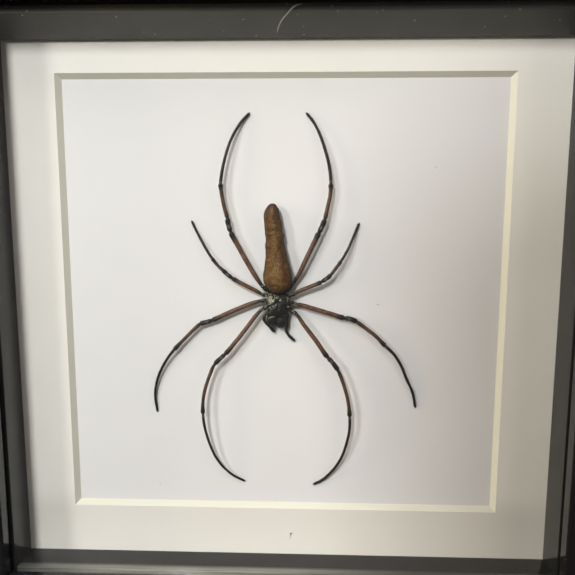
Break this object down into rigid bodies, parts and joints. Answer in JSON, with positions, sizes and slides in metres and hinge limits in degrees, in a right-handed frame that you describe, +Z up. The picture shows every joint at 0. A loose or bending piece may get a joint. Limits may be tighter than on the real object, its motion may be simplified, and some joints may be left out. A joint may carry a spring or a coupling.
{
  "type": "framed orb weaver spider",
  "caption": "Dried orb weaver spider spread on white card behind a bevelled cream mat and glass, in a black square shadow-box frame that stands or hangs.",
  "frame": {"origin": "middle of the footprint of the bottom rail, on the surface that the frame stands on", "axes": "+X to the right seen from the front, -Y out of the glass towards the viewer, +Z up"},
  "size_m": [0.25, 0.035, 0.25],
  "materials": {
    "frame_paint": "satin black lacquer on wood",
    "spacer_paint": "semi-gloss black lacquer on thin wood strip",
    "glass": "clear picture glass",
    "mat_board": "matte cream paper board",
    "card": "matte white card",
    "fibreboard": "bare brown hardboard",
    "steel": "zinc-plated steel",
    "abdomen_skin": "dried brown skin, mottled ochre and rust",
    "dark_shell": "dried black shell with silvery hair",
    "leg_skin": "dried red-brown shell, black at the joints and feet"
  },
  "bodies": {
    "root": {"rail_bottom": "frame_paint", "rail_right": "frame_paint", "rail_top": "frame_paint", "rail_left": "frame_paint", "glass": "glass", "spacer_left": "spacer_paint", "spacer_right": "spacer_paint", "spacer_bottom": "spacer_paint", "spacer_top": "spacer_paint", "mat": "mat_board", "backing_card": "card", "back_panel": "fibreboard", "tab_bottom_a": "steel", "tab_bottom_b": "steel", "tab_right_a": "steel", "tab_right_b": "steel", "tab_top_a": "steel", "tab_top_b": "steel", "tab_left_a": "steel", "tab_left_b": "steel", "hanger": "steel", "hanger_pin_left": "steel", "hanger_pin_right": "steel", "abdomen": "abdomen_skin", "cephalothorax": "dark_shell", "chelicera_left": "dark_shell", "chelicera_right": "dark_shell", "palp_left": "dark_shell", "palp_right": "dark_shell", "leg_1_left": "leg_skin", "leg_2_left": "leg_skin", "leg_3_left": "leg_skin", "leg_4_left": "leg_skin", "leg_1_right": "leg_skin", "leg_2_right": "leg_skin", "leg_3_right": "leg_skin", "leg_4_right": "leg_skin"}
  },
  "joints": []
}
